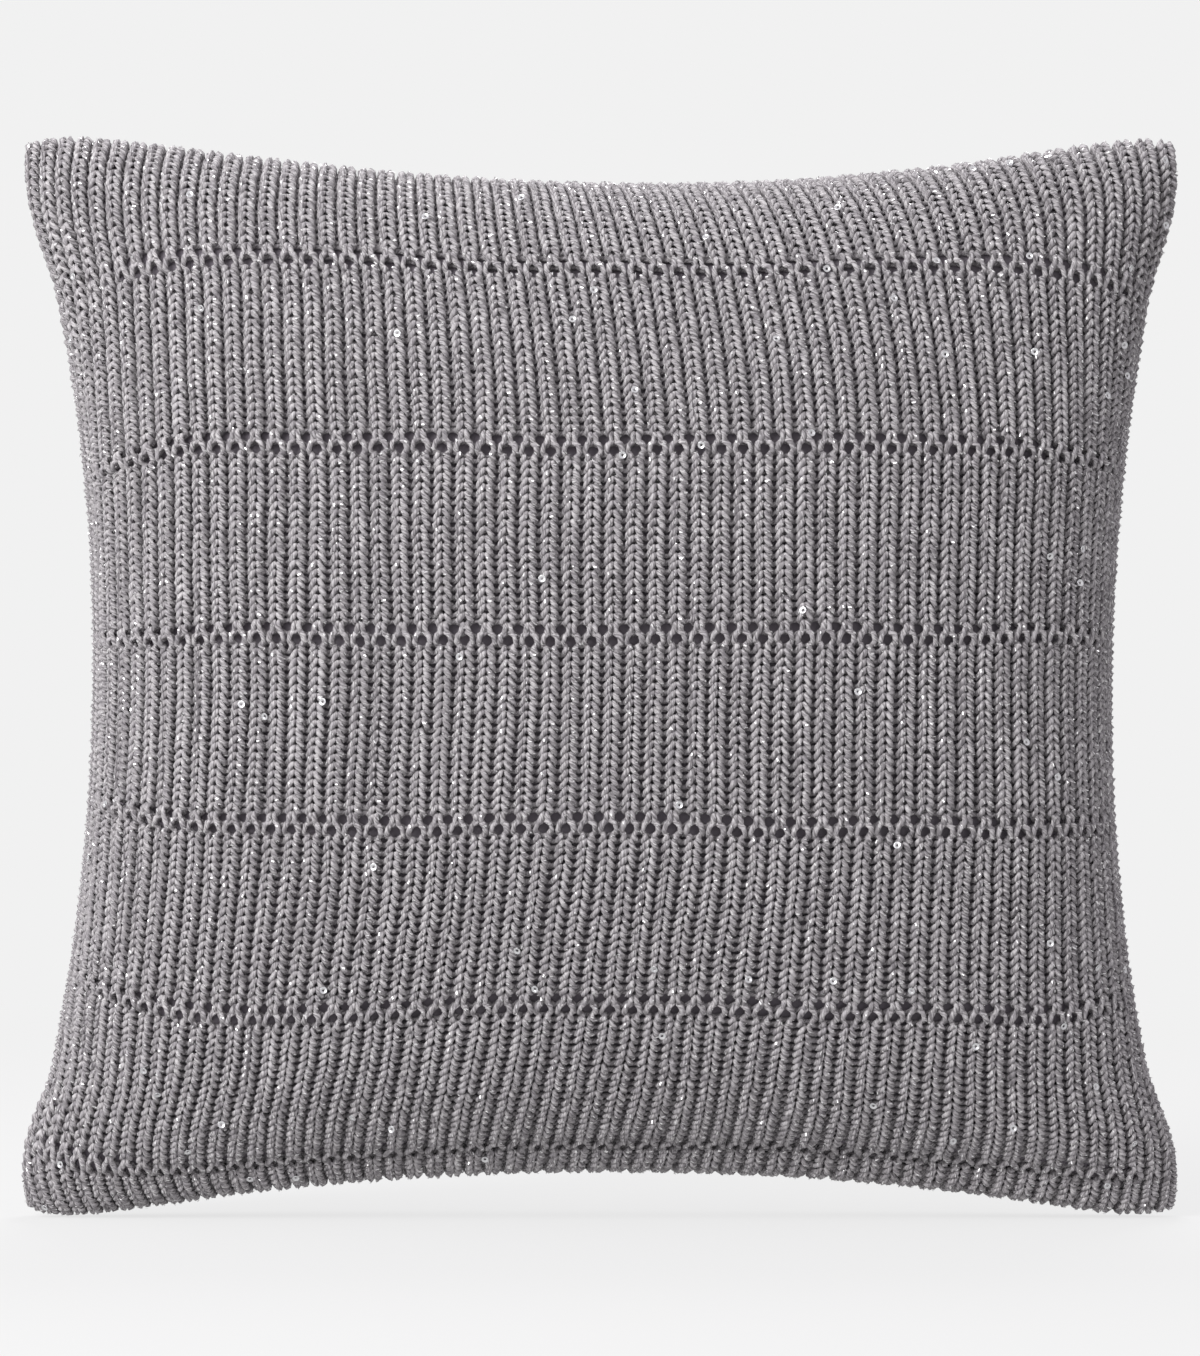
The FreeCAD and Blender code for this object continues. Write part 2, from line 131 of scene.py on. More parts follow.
BAND_FIRST = 17  # course of the first band below the top edge
BANDS_PER_FACE = 6
BANDS = [BAND_FIRST + BAND_PERIOD * k for k in range(-BANDS_PER_FACE, BANDS_PER_FACE)]
BAND_STRETCH = 0.0012  # extra height that each band takes
BAND_START = -0.6  # where that height begins, in courses from the band's first one
BAND_COURSES = 2.6
UPPER_HOLE = 0.2  # courses below the band's first course
LOWER_HOLE = 1.28
HOLE_RIM = 0.00305  # from an eyelet's centre to the middle of the yarn round it
HOLE_REACH = 0.0034  # yarn further from the centre than this stays where it is
HOLE_CENTRE = 0.00001  # yarn nearer to it than this is taken to be this far away
HOLE_FADE = 4  # ribs over which the eyelets close towards the side seams
SEAM_MARGIN = 0.08  # ribs left free at each side seam
CREASE_DEPTH = 0.0022
CREASE_WIDTH = 0.006
CREASE_SKEW = (0.8, 0.4)  # how strong crease and ridge are in the middle, and how much more at the right
CREASE_END = 6  # a power: the higher, the nearer they run to the side seams
RIDGE_DROP = 0.0115  # from the lowest eyelets to the ridge below them
RIDGE_HEIGHT = 0.0022
RIDGE_WIDTH = 0.007
HEM_LEAN = 0.0045  # how far the ribs below the lowest eyelets turn to the right, on the left side
CLOSED_RIBS = 4  # ribs from the left edge without open eyelets in the first band
BOW = 0.07  # how far the courses bend towards the middle near the side seams, half way up the pillow
BOW_SKEW = -0.03  # less at the right
BOW_WIDE = 0.136  # and how far they bend over most of its height
BOW_TOP = (0.8, 0.4, 0.4)  # more near the top: how much, and from which v over what length
BOW_RIGHT = (0.7, 0.25)  # less below the middle at the right: how much, and over what length of v
BOW_RIGHT_END = (0.7, 0.3, 0.3)  # but not near the bottom: as BOW_TOP, downwards
BOW_FLAT = 0.6  # a power: the lower, the nearer to top and bottom edge BOW_WIDE goes on
BOW_POWER = 4  # a power: the higher, the nearer to the side seams the courses start to bend
CORNER_LIFT = 0.10  # how much more they bend up in the bottom left corner
CORNER_FROM = (0.66, 0.30)  # in -u: where that begins, and over what length
CORNER_BELOW = (0.55, 0.30)  # in -v
CORNER_END = 0.12  # length of v above the bottom edge over which it ends again
LEAN_TOP = 0.046  # how far the ribs are pulled to the left near the top edge
LEAN_TOP_POWER = 1.2  # a power: the higher, the more of the lean is in the middle of the width
LEAN_FRONT = (0.150, 0.280)  # drop at which that has faded out, and length over which it does
LEAN_BACK = (0.13, 0.30)  # the same down the back: where it starts to fade, and over what length
LEAN_LOW = 0.026  # and near the bottom edge
LEAN_LOW_REACH = 0.22  # from that edge
LEAN_LOW_POWERS = (0.8, 1.8)  # as LEAN_TOP_POWER, and the same for how much of it is near the edge
HEM_REACH = 0.032
HEM_FADE = (0.2, 0.35)  # share of the width at which the hem's turn begins to fade, and over what share
CROWDED = ((0.33, 0.15, 0.007), (0.42, 0.06, 0.008))  # packed courses: from which drop, how far, how much
STITCH_JITTER = (0.016, 0.050, 0.00009)  # each stitch's own place: ribs, courses and metres outwards
YARN_TWIST = ((3.0, 0.0), (9.0, 6.0))  # how the fibres' pattern follows the yarn and winds round it

# ---- lining, insert, seams and label ----

LINING_DEPTH = 0.0038  # from the middle of the knit to the lining
LINING_THICKNESS = 0.0005
LINING_STEP = 4
INSERT_INSET = 0.0145
INSERT_CAP = 0.0058  # how far the simulation may swell it
INSERT_VOXEL = 0.006
INSERT_GRID = (81, 161)
INSERT_FLOOR = 0.0095
PRESSURE = 4.0
CLOTH_MASS = 0.3
CLOTH_QUALITY = 5
SWELL_FRAMES = 20
FILLING_GAP = 0.0008
ZIP_REACH = 0.186  # beyond this the insert may reach lower than the zip
ZIP_REACH_FADE = 0.02
ZIP_SIDE = 0.030  # the same, towards front and back
ZIP_SIDE_FADE = 0.012
ZIP_TOP = 0.0325
INSERT_SEAM_START = -0.8  # in wrap
INSERT_SEAM_POINTS = 200  # along each side
INSERT_SEAM_ROUNDS = 20  # of smoothing
INSERT_SEAM_THREAD = 0.0007
SEAM_START = -0.80  # in wrap
SEAM_END = 0.82
SEAM_TURNS = 70
SEAM_POINTS = 8  # to each turn of the thread
SEAM_RADIUS = 0.0016
SEAM_INSET = 0.0004
SEAM_THREAD = 0.0004
THREAD_SIDES = 6
LABEL_LEFT = -0.090
LABEL_RIGHT = -0.045
LABEL_NEAR = 0.0062
LABEL_FAR = 0.0150
LABEL_HEIGHT = 0.0287
LABEL_THICKNESS = 0.0003
LABEL_GRID = (46, 12)
LABEL_CURL = 0.0014
LABEL_WAVES = (0.5, 150)  # how uneven the curl is, and the waves' pace along the label

# ---- sequins and metallic thread ----

SEQUIN_RADIUS = 0.0015
SEQUIN_HOLE = 0.00055
SEQUIN_THICKNESS = 0.0002
SEQUIN_SIDES = 20
SEQUIN_LIFTS = (0.0034, 0.0045)  # least and most, from the middle of the knit
SEQUIN_TILT = 0.24
SEQUIN_EDGE = 0.9  # none lies further out than this, in across and wrap
SEQUIN_SLOPE = 0.25  # how much likelier a sequin is towards the bottom right corner
SEQUIN_LEVEL = -0.1  # the same for the whole face
SEQUINS_FRONT = 78
SEQUINS_BACK = 70
FOIL_LENGTH = 0.0011
FOIL_SIZES = (0.6, 1.3)  # least and most of that length
FOIL_WIDTH = 0.00042
FOIL_THICKNESS = 0.00005
FOIL_LIFT = 0.00012
FOIL_SWING = 0.9  # how far round the yarn it may lie, in radians from the outermost place
FOIL_TILT = 0.25
FOIL_TURNS = (0.3, 1.1)  # least and most angle from the yarn's direction
FOIL_PER_COURSE = 210
FOIL_PIECES = 2  # pieces of metallic thread on each side
FOIL_SAMPLES = (3, 4, 5, 10, 11, 12)  # places along a stitch where the yarn is outermost


def smooth(x):
    """0 below 0, 1 above 1, and an even S between them."""
    x = np.clip(x, 0, 1)
    return x * x * (3 - 2 * x)


def unit(vectors):
    """The vectors, each scaled to a length of 1."""
    return vectors / np.maximum(np.linalg.norm(vectors, axis=-1, keepdims=True), TINY)


def sines(across, wrap):
    """u and v of places on the form."""
    along = np.where(wrap <= 1, wrap, 2 - wrap)
    return np.sin(math.pi / 2 * across), np.sin(math.pi / 2 * along)


def form_point(across, wrap, inset):
    """Points of the pillow's surface, or of one that lies inside it by the inset."""
    u, v = sines(across, wrap)
    face = np.where(wrap <= 1, -1.0, 1.0)
    top = BOX_HEIGHT + TOP_OVERSHOOT
    half_width = BOX_WIDTH / 2 + SIDE_OVERSHOOT - inset
    half_height = (top + FOOT_DEPTH) / 2 - inset
    cut = CORNER_CUT + CORNER_CUT_SKEW * v
    shifted = v + SIDE_SHIFT * u * (1 - v * v)
    side = (SIDE_PULL_IN + SIDE_PULL_SKEW * u) * (1 - shifted * shifted) ** SIDE_CURVE
    bulge = (TOP_BULGE * (1 + v) + BOTTOM_BULGE * (1 - v)) / 2
    side = side - bulge * smooth((np.abs(v) - BULGE_START) / (BULGE_END - BULGE_START))
    side = side + cut * np.abs(v) ** CORNER_SHARPNESS
    leaning = u - TOP_SHIFT * (1 - u * u)
    end = TOP_PULL_IN * (1 + v) / 2 * (1 - leaning * leaning) ** TOP_CURVE
    leaning = u - BOTTOM_SHIFT * (1 - u * u)
    end = end + BOTTOM_PULL_IN * (1 - v) / 2 * (1 - leaning * leaning) ** BOTTOM_CURVE
    end = end + cut * np.abs(u) ** CORNER_SHARPNESS
    crown = np.sqrt((1 - np.abs(u) ** CROWN) * (1 - np.abs(v) ** CROWN))
    depth = (BOX_THICKNESS / 2 - inset) * crown
    z = (top - FOOT_DEPTH) / 2 + v * (half_height - end)
    z = np.maximum(z, FLOOR_GAP)
    return np.stack([u * (half_width - side), face * depth, z], axis=-1)


def lengths_along(points):
    """The distance travelled at each point of a path, or of each path in a stack."""
    steps = np.linalg.norm(np.diff(points, axis=-2), axis=-1)
    start = np.zeros((*steps.shape[:-1], 1))
    return np.concatenate([start, np.cumsum(steps, axis=-1)], axis=-1)


def grid_normals(points):
    """Outward normals of a grid of points indexed [wrap, across]."""
    along = np.gradient(points, axis=0)
    across = np.gradient(points, axis=1)
    return unit(np.cross(across, along))


def look_up(table, row, column):
    """Bilinear samples of a table at fractional rows and columns."""
    row = np.clip(row, 0, table.shape[0] - LAST_CELL)
    column = np.clip(column, 0, table.shape[1] - LAST_CELL)
    i = row.astype(int)
    j = column.astype(int)
    fi = row - i
    fj = column - j
    if table.ndim == 3:
        fi = fi[..., None]
        fj = fj[..., None]
    top = table[i, j] * (1 - fj) + table[i, j + 1] * fj
    low = table[i + 1, j] * (1 - fj) + table[i + 1, j + 1] * fj
    return top * (1 - fi) + low * fi


class Carrier:
    """The middle surface of the knit, with the tables that lead from fabric coordinates to it."""

    def __init__(self, inset):
        self.deeper = inset - BASE_INSET
        self.wrap = np.linspace(-1, 3, GRID_ALONG)
        self.across = np.linspace(-1, 1, GRID_ACROSS)
        across, wrap = np.meshgrid(self.across, self.wrap)
        self.points = form_point(across, wrap, inset)
        self.measure()
        self.crease()
        self.turn_in(np.arange(HEM_ROWS, -1, -1))
        self.turn_in(np.arange(GRID_ALONG - 1 - HEM_ROWS, GRID_ALONG))
        self.measure()

    def crease(self):
        """A dip along the lowest eyelets and a rolled ridge below them, both deepest on the right."""
        middle = drop_of(np.array(BANDS[-1] + LOWER_HOLE))
        waves = ((middle, CREASE_WIDTH, -CREASE_DEPTH), (middle + RIDGE_DROP, RIDGE_WIDTH, RIDGE_HEIGHT))
        for centre, width, depth in waves:
            share = np.exp(-(((np.abs(self.from_top) - centre) / width) ** 2))
            u = np.sin(math.pi / 2 * self.across)
            strength = (1 - u**CREASE_END) * (CREASE_SKEW[0] + CREASE_SKEW[1] * u)
            self.points = self.points + self.normals * (depth * share[:, None] * strength)[..., None]
        self.points[..., 2] = np.maximum(self.points[..., 2], FLOOR_GAP + self.deeper)

    def turn_in(self, rows):
        """The last rows before the bottom edge go up into the zip's slot instead, except at its ends."""
        start = self.points[rows[0]]
        edge = self.points[rows[-1]]
        inside = edge.copy()
        inside[:, 1] = np.sign(start[:, 1]) * (SLOT_WALL + self.deeper)
        inside[:, 2] = HEM_TOP
        open_here = smooth((SLOT_REACH - np.abs(edge[:, :1])) / SLOT_FADE)
        goal = edge + (inside - edge) * open_here
        for step, row in enumerate(rows):
            self.points[row] = start + (goal - start) * step / HEM_ROWS

    def measure(self):
        """Normals, lengths down from the top edge, and a table that spaces places evenly across."""
        self.normals = grid_normals(self.points)
        length = lengths_along(self.points[:, GRID_ACROSS // 2])
        top = np.interp(1, self.wrap, length)
        self.from_top = top - length
        self.front_length = top
        self.back_length = length[-1] - top
        length = lengths_along(self.points)
        share = length / length[:, -1:]
        even = np.linspace(0, 1, GRID_ACROSS)
        self.across_at = np.stack([np.interp(even, row, self.across) for row in share])

    def at(self, across, wrap):
        """Points of the surface and its normals there."""
        row = (wrap + 1) / 4 * (GRID_ALONG - 1)
        column = (across + 1) / 2 * (GRID_ACROSS - 1)
        return look_up(self.points, row, column), unit(look_up(self.normals, row, column))

    def place(self, rib, drop):
        """across and wrap for a rib coordinate and a distance from the top edge, in metres."""
        side = 2 * rib / RIBS - 1
        share = (1 + side * (1 + EDGE_CROWDING) - EDGE_CROWDING * side**5) / 2
        share = share - lean(share, drop, self.front_length) / FABRIC_WIDTH
        share = share + wander(share, drop, WANDER_ACROSS) * (1 - (2 * share - 1) ** 4)
        share = np.clip(share, 0.0, 1.0)
        drop = drop + wander(share, drop, WANDER_DOWN)
        wrap = np.interp(-drop, -self.from_top, self.wrap)
        row = (wrap + 1) / 4 * (GRID_ALONG - 1)
        across = look_up(self.across_at, row, share * (GRID_ACROSS - 1))
        return across, bow(across, wrap)


def wander(share, drop, kind):
    """A smooth, uneven field over the fabric, a sum of long waves in all directions."""
    size, waves_across, waves_down, seed = kind
    x = share * waves_across
    y = drop * waves_down
    waves = np.random.default_rng(seed).uniform(-1, 1, (WANDER_WAVES, 3))
    total = 0
    for along, up, phase in waves:
        total = total + np.sin(2 * math.pi * (along * x + up * y + phase))
    return size * (total / (WANDER_WAVES / 2))


def lean(share, drop, front_length):
    """How far the ribs are pulled to the left near the top edge and the bottom one, in metres."""
    inside = np.clip(share, 0, 1)
    left_over = front_length - drop
    end, length = LEAN_FRONT
    start, back_length = LEAN_BACK
    top = LEAN_TOP * np.sin(math.pi * inside**2) ** LEAN_TOP_POWER
    top = top * smooth((end - drop) / length) * (1 - smooth((-drop - start) / back_length))
    across_power, down_power = LEAN_LOW_POWERS
    low = LEAN_LOW * np.sin(math.pi * inside) ** across_power
    low = low * np.clip((LEAN_LOW_REACH - left_over) / LEAN_LOW_REACH, 0, 1) ** down_power
    start, length = HEM_FADE
    hem = HEM_LEAN * smooth((HEM_REACH - left_over) / HEM_REACH) * (1 - smooth((share - start) / length))
    return top + low - hem


def bow(across, wrap):
    """wrap moved towards the middle near the side seams, where the courses bend in."""
    u, v = sines(across, wrap)
    flat = 1 - v * v
    amount = BOW_WIDE * flat**BOW_FLAT + (BOW + BOW_SKEW * u) * flat**2
    more, start, length = BOW_TOP
    amount = amount * (1 + more * smooth((v - start) / length))
    less, length = BOW_RIGHT
    restored, start, end_length = BOW_RIGHT_END
    restored = 1 - restored * smooth((-v - start) / end_length)
    amount = amount * (1 - less * smooth(u) * smooth(-v / length) * restored)
    corner = smooth((-u - CORNER_FROM[0]) / CORNER_FROM[1])
    corner = corner * smooth((-v - CORNER_BELOW[0]) / CORNER_BELOW[1]) * smooth((1 + v) / CORNER_END)
    v = v * (1 - (amount + CORNER_LIFT * corner) * np.abs(u) ** BOW_POWER)
    along = np.arcsin(np.clip(v, -1, 1)) * 2 / math.pi
    return np.where(wrap <= 1, along, 2 - along)


def drop_of(course):
    """Distance from the top edge, in metres, of a course coordinate."""
    drop = course * COURSE - COURSE_SHIFT
    for band in BANDS:
        drop = drop + BAND_STRETCH * (smooth((course - band - BAND_START) / BAND_COURSES) - (band < 0))
    return drop + stretch(drop)


def stretch(drop):
    """What the drop changes by, because the front's lowest courses are packed closer than the rest."""
    change = 0
    for start, length, amount in CROWDED:
        change = change - amount * smooth((drop - start) / length)
    return change


def open_holes(rib, drop):
    """The yarn's places, pushed away from the centres of the eyelets."""
    for band in BANDS:
        for offset, shift in ((UPPER_HOLE, 0.0), (LOWER_HOLE, 0.5)):
            centre = drop_of(np.array(float(band + offset)))
            nearest = np.round(rib - shift) + shift
            dx = (rib - nearest) * RIB_PITCH
            dy = drop - centre
            distance = np.hypot(dx, dy)
            closed = CLOSED_RIBS if band == BAND_FIRST else 1
            opening = smooth((nearest - closed) / HOLE_FADE) * smooth((RIBS - 1 - nearest) / HOLE_FADE)
            inside = (distance < HOLE_REACH) & (opening > 0)
            rim = HOLE_RIM * np.sqrt(opening)
            wide = np.maximum(rim + (HOLE_REACH - rim) * distance / HOLE_REACH, distance)
            scale = np.where(inside, wide / np.maximum(distance, HOLE_CENTRE), 1.0)
            rib = nearest + dx * scale / RIB_PITCH
            drop = centre + dy * scale
    return rib, drop


# One stitch, from the middle of one gap to the middle of the next: across in ribs from the rib's middle,
# up in courses, and out from the middle surface in metres. The legs spread downwards, like a roof.
STITCH_HALF = [
    (-0.500, 0.26, -0.0021),
    (-0.375, 0.34, -0.0019),
    (-0.200, 0.56, -0.0012),
    (-0.088, 0.56, 0.0000),
    (-0.105, 0.32, 0.0012),
    (-0.180, 0.00, 0.0019),
    (-0.272, -0.32, 0.0015),
    (-0.330, -0.62, 0.0000),
    (-0.280, -0.84, -0.0012),
    (-0.150, -0.92, -0.0018),
]
STITCH_BOTTOM = (0.0, -0.94, -0.0020)
SAMPLES = 16  # places along one stitch
CURVE_STEP = 0.1  # of the way from one point above to the next, when the curve through them is measured


def stitch_path():
    """The stitch's centreline, a smooth curve through its points, sampled evenly."""
    other = [(-x, y, z) for x, y, z in reversed(STITCH_HALF)]
    points = np.array(STITCH_HALF + [STITCH_BOTTOM] + other)
    before = points[-2] - np.array([1.0, 0, 0])
    after = points[1] + np.array([1.0, 0, 0])
    padded = np.vstack([before, points, after])
    fine = []
    for k in range(1, len(padded) - 2):
        p0, p1, p2, p3 = padded[k - 1 : k + 3]
        for step in np.arange(0, 1, CURVE_STEP):
            a = 2 * p1
            b = p2 - p0
            c = 2 * p0 - 5 * p1 + 4 * p2 - p3
            d = 3 * p1 - p0 - 3 * p2 + p3
            fine.append((a + b * step + c * step**2 + d * step**3) / 2)
    fine.append(points[-1])
    fine = np.array(fine)
    length = lengths_along(fine * np.array([RIB_PITCH, COURSE, 1.0]))
    even = np.linspace(0, length[-1], SAMPLES + 1)[:-1]
    return np.stack([np.interp(even, length, fine[:, k]) for k in range(3)], axis=1)


def course_paths(carrier, courses):
    """Centrelines and surface normals of whole courses, indexed [course, place along it]."""
    stitch = stitch_path()
    ribs = np.arange(RIBS)
    count = len(courses)
    jitter = rng.normal(0, 1, (count, len(ribs), 1, 3)) * np.array(STITCH_JITTER)
    path = stitch[None, None] + jitter
    end = np.array([RIBS - 0.5, stitch[0, 1], stitch[0, 2]])
    path[..., 0] += ribs[None, :, None]
    path = path.reshape(count, -1, 3)
    path = np.concatenate([path, np.broadcast_to(end, (count, 1, 3))], axis=1)
    rib = path[..., 0] + 0.5
    course = courses[:, None] - path[..., 1]
    lift = path[..., 2]
    inner = 1 - 2 * SEAM_MARGIN / RIBS
    rib = SEAM_MARGIN + rib * inner
    rib, drop = open_holes(rib, drop_of(course))
    across, wrap = carrier.place(rib, drop)
    point, normal = carrier.at(across, wrap)
    return point + normal * lift[..., None], normal


def tube(points, normals, radius, sides):
    """Rings of vertices round each path, and the faces between them: two plies twisted together."""
    tangent = unit(np.gradient(points, axis=1))
    out = unit(normals - (normals * tangent).sum(-1, keepdims=True) * tangent)
    aside = np.cross(tangent, out)
    angle = math.pi + np.arange(sides) * 2 * math.pi / sides
    ring = out[:, :, None] * np.cos(angle)[:, None] + aside[:, :, None] * np.sin(angle)[:, None]
    travelled = lengths_along(points)
    turn = 2 * math.pi * travelled / PLY_TURN
    lobes = 1 + YARN_LOBE * np.cos(2 * (angle - turn[..., None]))
    size = radius * lobes * (1 + YARN_ROUGHNESS * rng.normal(0, 1, lobes.shape))
    size[:, [0, -1]] *= YARN_TIP
    vertices = points[:, :, None] + size[..., None] * ring
    count, length = points.shape[:2]
    index = np.arange(count * length * sides).reshape(count, length, sides)
    here = index[:, :-1]
    there = index[:, 1:]
    faces = np.stack([here, np.roll(here, -1, axis=2), np.roll(there, -1, axis=2), there], axis=-1)
    return vertices.reshape(-1, 3), faces.reshape(-1, 4), travelled


def add_yarn_maps(piece, travelled, sides):
    """Two UV maps: distance along the yarn and place round it, and a layout with no overlaps."""
    count, length = travelled.shape
    along = np.stack([travelled[:, :-1], travelled[:, :-1], travelled[:, 1:], travelled[:, 1:]], axis=-1)
    along = np.broadcast_to(along[:, :, None], (count, length - 1, sides, 4))
    steps = np.arange(length - 1) / (length - 1)
    share = np.stack([steps, steps, steps + 1 / (length - 1), steps + 1 / (length - 1)], axis=-1)
    share = np.broadcast_to(share[None, :, None], along.shape)
    side = np.arange(sides)
    corner = np.stack([side, side + 1, side + 1, side], axis=-1) / sides
    around = np.broadcast_to(corner, along.shape)
    strip = np.broadcast_to(np.arange(count)[:, None, None, None], along.shape)
    maps = {
        "yarn": (along / YARN_UNIT, around),
        "OFBake": (share, (strip + around) / count),
    }
    for name, (u, v) in maps.items():
        layer = piece.data.uv_layers.new(name=name)
        layer.data.foreach_set("uv", np.stack([u, v], axis=-1).astype(np.float32).ravel())


def add_object(name, data):
    """A new object in the scene."""
    thing = bpy.data.objects.new(name, data)
    bpy.context.scene.collection.objects.link(thing)
    return thing


def make_mesh(name, vertices, faces, smooth_shading=True):
    """A mesh object from arrays of vertices and four-cornered faces."""
    mesh = bpy.data.meshes.new(name)
    mesh.vertices.add(len(vertices))
    mesh.vertices.foreach_set("co", vertices.astype(np.float32).ravel())
    mesh.loops.add(faces.size)
    mesh.loops.foreach_set("vertex_index", faces.astype(np.int32).ravel())
    mesh.polygons.add(len(faces))
    mesh.polygons.foreach_set("loop_start", np.arange(0, faces.size, faces.shape[1], dtype=np.int32))
    mesh.polygons.foreach_set("use_smooth", np.full(len(faces), smooth_shading))
    mesh.update(calc_edges=True)
    return add_object(name, mesh)


def grid_faces(index):
    """Faces between the neighbours in a grid of vertex numbers."""
    corners = (index[:-1, :-1], index[:-1, 1:], index[1:, 1:], index[1:, :-1])
    return np.stack(corners, axis=-1).reshape(-1, 4)


def dress(piece, material, slot, *nodes):
    """Give a piece of the pillow its material and its body, and hide the CAD nodes that it stands for. The
    slot is not used.
    """
    piece.data.materials.append(material)
    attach(piece, "pillow")
    if nodes:
        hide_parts(*nodes)


def knit_piece(carrier, name, courses):
    """A few courses as one mesh, with the yarn's centrelines and the surface's normals along them."""
    points, normals = course_paths(carrier, courses)
    vertices, faces, travelled = tube(points, normals, YARN_RADIUS, YARN_SIDES)
    vertices[:, 2] = np.maximum(vertices[:, 2], YARN_FLOOR)
    piece = make_mesh(name, vertices, faces)
    add_yarn_maps(piece, travelled, YARN_SIDES)
    return piece, points, normals


# ---- materials ----

MIX_FACTOR = 0  # sockets of the Mix node when it mixes colours, because several have the same name
MIX_FIRST = 6
MIX_SECOND = 7
MIX_COLOUR = 2
WAVES_TO_METRE = 3.14  # of a wave texture at a scale of 1, about


def new_material(name, roughness):
    """A material, its node tree and its Principled shader."""
    material = bpy.data.materials.new(name)
    material.use_nodes = True
    shader = material.node_tree.nodes["Principled BSDF"]
    shader.inputs["Roughness"].default_value = roughness
    return material, material.node_tree, shader


def add_noise(tree, scale, detail, rough):
    """Noise in the object's own coordinates."""
    noise = tree.nodes.new("ShaderNodeTexNoise")
    noise.inputs["Scale"].default_value = scale
    noise.inputs["Detail"].default_value = detail
    noise.inputs["Roughness"].default_value = rough
    place = tree.nodes.new("ShaderNodeTexCoord")
    tree.links.new(place.outputs["Object"], noise.inputs["Vector"])
    return noise


def add_ramp(tree, source, stops):
    """A colour ramp with stops of position and colour."""
    ramp = tree.nodes.new("ShaderNodeValToRGB")
    elements = ramp.color_ramp.elements
    while len(elements) < len(stops):
        elements.new(0.5)
    for element, (position, colour) in zip(elements, stops):
        element.position = position
        element.color = (*colour, 1)
    tree.links.new(source, ramp.inputs["Fac"])
    return ramp


def tint(tree, shader, source, stops):
    """The surface's colour, taken from a ramp."""
    ramp = add_ramp(tree, source, stops)
    tree.links.new(ramp.outputs["Color"], shader.inputs["Base Color"])


def add_bump(tree, shader, height, strength, distance):
    """Small relief from a height. The distance is in metres."""
    bump = tree.nodes.new("ShaderNodeBump")
    bump.inputs["Strength"].default_value = strength
    bump.inputs["Distance"].default_value = distance
    tree.links.new(height, bump.inputs["Height"])
    tree.links.new(bump.outputs["Normal"], shader.inputs["Normal"])


def add_streaks(tree, uv_name, weights, detail):
    """Noise drawn out along one direction of a UV map. Each weight gives one of the noise's coordinates."""
    uv = tree.nodes.new("ShaderNodeUVMap")
    uv.uv_map = uv_name
    combine = tree.nodes.new("ShaderNodeCombineXYZ")
    for axis, weight in zip("XY", weights):
        dot = tree.nodes.new("ShaderNodeVectorMath")
        dot.operation = "DOT_PRODUCT"
        dot.inputs[1].default_value = (*weight, 0)
        tree.links.new(uv.outputs["UV"], dot.inputs[0])
        tree.links.new(dot.outputs["Value"], combine.inputs[axis])
    noise = tree.nodes.new("ShaderNodeTexNoise")
    noise.inputs["Scale"].default_value = 1.0
    noise.inputs["Detail"].default_value = detail
    tree.links.new(combine.outputs["Vector"], noise.inputs["Vector"])
    return noise


def add_mix(tree, kind, factor, first, second):
    """Two colour sockets blended."""
    mix = tree.nodes.new("ShaderNodeMix")
    mix.data_type = "RGBA"
    mix.blend_type = kind
    mix.inputs[MIX_FACTOR].default_value = factor
    tree.links.new(first, mix.inputs[MIX_FIRST])
    tree.links.new(second, mix.inputs[MIX_SECOND])
    return mix.outputs[MIX_COLOUR]


def yarn_material():
    """Grey melange yarn: pale and dark fibres that follow the twist, and a slow change of tone."""
    material, tree, shader = new_material("grey_melange_yarn", roughness=0.88)
    fibres = add_streaks(tree, "yarn", YARN_TWIST, detail=3.0)
    tone = add_ramp(tree, fibres.outputs["Fac"], [
        (0.34, (0.185, 0.171, 0.180)),
        (0.47, (0.400, 0.378, 0.389)),
        (0.60, (0.690, 0.664, 0.674)),
    ])
    blotches = add_noise(tree, scale=330, detail=3.0, rough=0.6)
    slow = add_ramp(tree, blotches.outputs["Fac"], [(0.35, (0.68, 0.67, 0.69)), (0.65, (1.0, 1.0, 0.995))])
    colour = add_mix(tree, "MULTIPLY", 1.0, tone.outputs["Color"], slow.outputs["Color"])
    tree.links.new(colour, shader.inputs["Base Color"])
    shader.inputs["Sheen Weight"].default_value = 0.25
    shader.inputs["Sheen Roughness"].default_value = 0.45
    add_bump(tree, shader, fibres.outputs["Fac"], strength=0.9, distance=0.0005)
    return material


def cloth_material(name, light, dark, count, roughness=0.85):
    """A plain weave with about count threads to the metre, uneven like spun thread."""
    material, tree, shader = new_material(name, roughness)
    place = tree.nodes.new("ShaderNodeTexCoord")
    heights = []
    for direction in ("X", "Z"):
        wave = tree.nodes.new("ShaderNodeTexWave")
        wave.bands_direction = direction
        wave.inputs["Scale"].default_value = count / WAVES_TO_METRE
        wave.inputs["Distortion"].default_value = 1.5
        wave.inputs["Detail Scale"].default_value = 3.0
        tree.links.new(place.outputs["Object"], wave.inputs["Vector"])
        heights.append(wave.outputs["Color"])
    weave = add_mix(tree, "MULTIPLY", 1.0, heights[0], heights[1])
    slubs = add_noise(tree, scale=500, detail=3.0, rough=0.6)
    weave = add_mix(tree, "OVERLAY", 0.6, weave, slubs.outputs["Color"])
    tint(tree, shader, weave, [(0.1, dark), (0.7, light)])
    add_bump(tree, shader, weave, strength=0.4, distance=0.0002)
    return material


def fibre_material(name, light, dark, scale):
    """Loose or twisted fibre without a weave."""
    material, tree, shader = new_material(name, roughness=0.9)
    tufts = add_noise(tree, scale, detail=5.0, rough=0.65)
    tint(tree, shader, tufts.outputs["Fac"], [(0.3, dark), (0.7, light)])
    shader.inputs["Sheen Weight"].default_value = 0.3
    add_bump(tree, shader, tufts.outputs["Fac"], strength=0.6, distance=0.0006)
    return material


